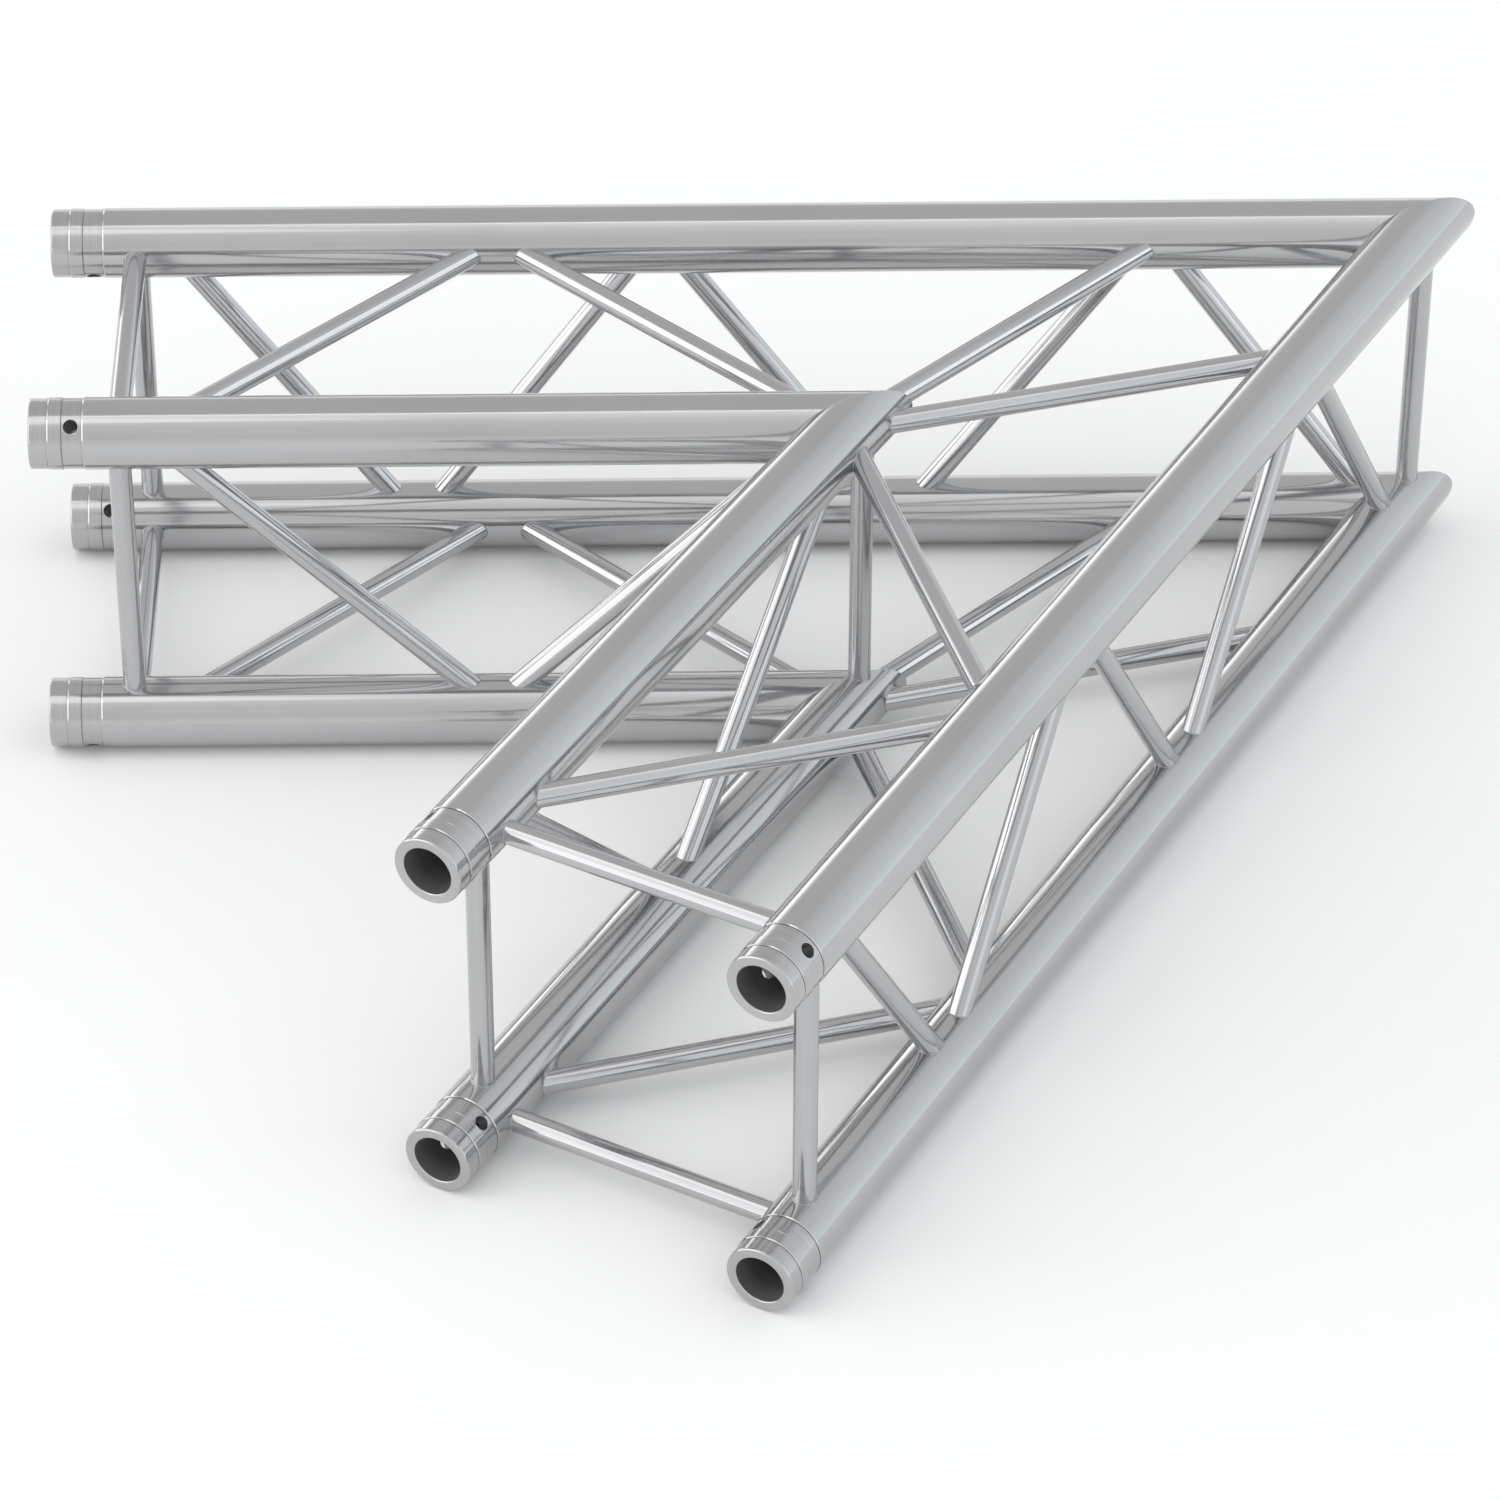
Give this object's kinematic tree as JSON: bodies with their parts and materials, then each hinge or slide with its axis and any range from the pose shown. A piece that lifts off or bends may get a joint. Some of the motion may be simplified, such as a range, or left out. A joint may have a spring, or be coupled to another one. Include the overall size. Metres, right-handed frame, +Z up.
{
  "type": "lighting truss corner section",
  "caption": "Mitred corner section of square aluminium lighting truss, welded from round chord and brace tubes, with conical coupler sockets and pin holes at the chord ends.",
  "frame": {"origin": "under the middle of the section's bounding box, level with the underside of the bottom chords", "axes": "+Z up, square to both arms; +Y from the inner mitre to the outer mitre; X = 0 is the mirror plane between the arms"},
  "size_m": [1.0224, 1.0311, 0.29],
  "materials": {
    "chord_tube": "extruded tube, satin",
    "brace_tube": "drawn tube, satin",
    "receiver": "turned, fine satin"
  },
  "bodies": {
    "root": {"left_outer_top_chord": "chord_tube", "left_outer_top_receiver": "receiver", "left_outer_bottom_chord": "chord_tube", "left_outer_bottom_receiver": "receiver", "left_inner_top_chord": "chord_tube", "left_inner_top_receiver": "receiver", "left_inner_bottom_chord": "chord_tube", "left_inner_bottom_receiver": "receiver", "left_top_crossbar": "brace_tube", "left_top_brace_1": "brace_tube", "left_top_brace_2": "brace_tube", "left_top_corner_brace": "brace_tube", "left_bottom_crossbar": "brace_tube", "left_bottom_brace_1": "brace_tube", "left_bottom_brace_2": "brace_tube", "left_bottom_corner_brace": "brace_tube", "left_outer_end_post": "brace_tube", "left_outer_brace_1": "brace_tube", "left_outer_brace_2": "brace_tube", "left_outer_brace_3": "brace_tube", "left_outer_brace_4": "brace_tube", "left_outer_brace_5": "brace_tube", "left_inner_end_post": "brace_tube", "left_inner_brace_1": "brace_tube", "left_inner_brace_2": "brace_tube", "right_outer_top_chord": "chord_tube", "right_outer_top_receiver": "receiver", "right_outer_bottom_chord": "chord_tube", "right_outer_bottom_receiver": "receiver", "right_inner_top_chord": "chord_tube", "right_inner_top_receiver": "receiver", "right_inner_bottom_chord": "chord_tube", "right_inner_bottom_receiver": "receiver", "right_top_crossbar": "brace_tube", "right_top_brace_1": "brace_tube", "right_top_brace_2": "brace_tube", "right_top_corner_brace": "brace_tube", "right_bottom_crossbar": "brace_tube", "right_bottom_brace_1": "brace_tube", "right_bottom_brace_2": "brace_tube", "right_bottom_corner_brace": "brace_tube", "right_outer_end_post": "brace_tube", "right_outer_brace_1": "brace_tube", "right_outer_brace_2": "brace_tube", "right_outer_brace_3": "brace_tube", "right_outer_brace_4": "brace_tube", "right_outer_brace_5": "brace_tube", "right_inner_end_post": "brace_tube", "right_inner_brace_1": "brace_tube", "right_inner_brace_2": "brace_tube", "outer_corner_post": "brace_tube", "inner_corner_post": "brace_tube"}
  },
  "joints": []
}
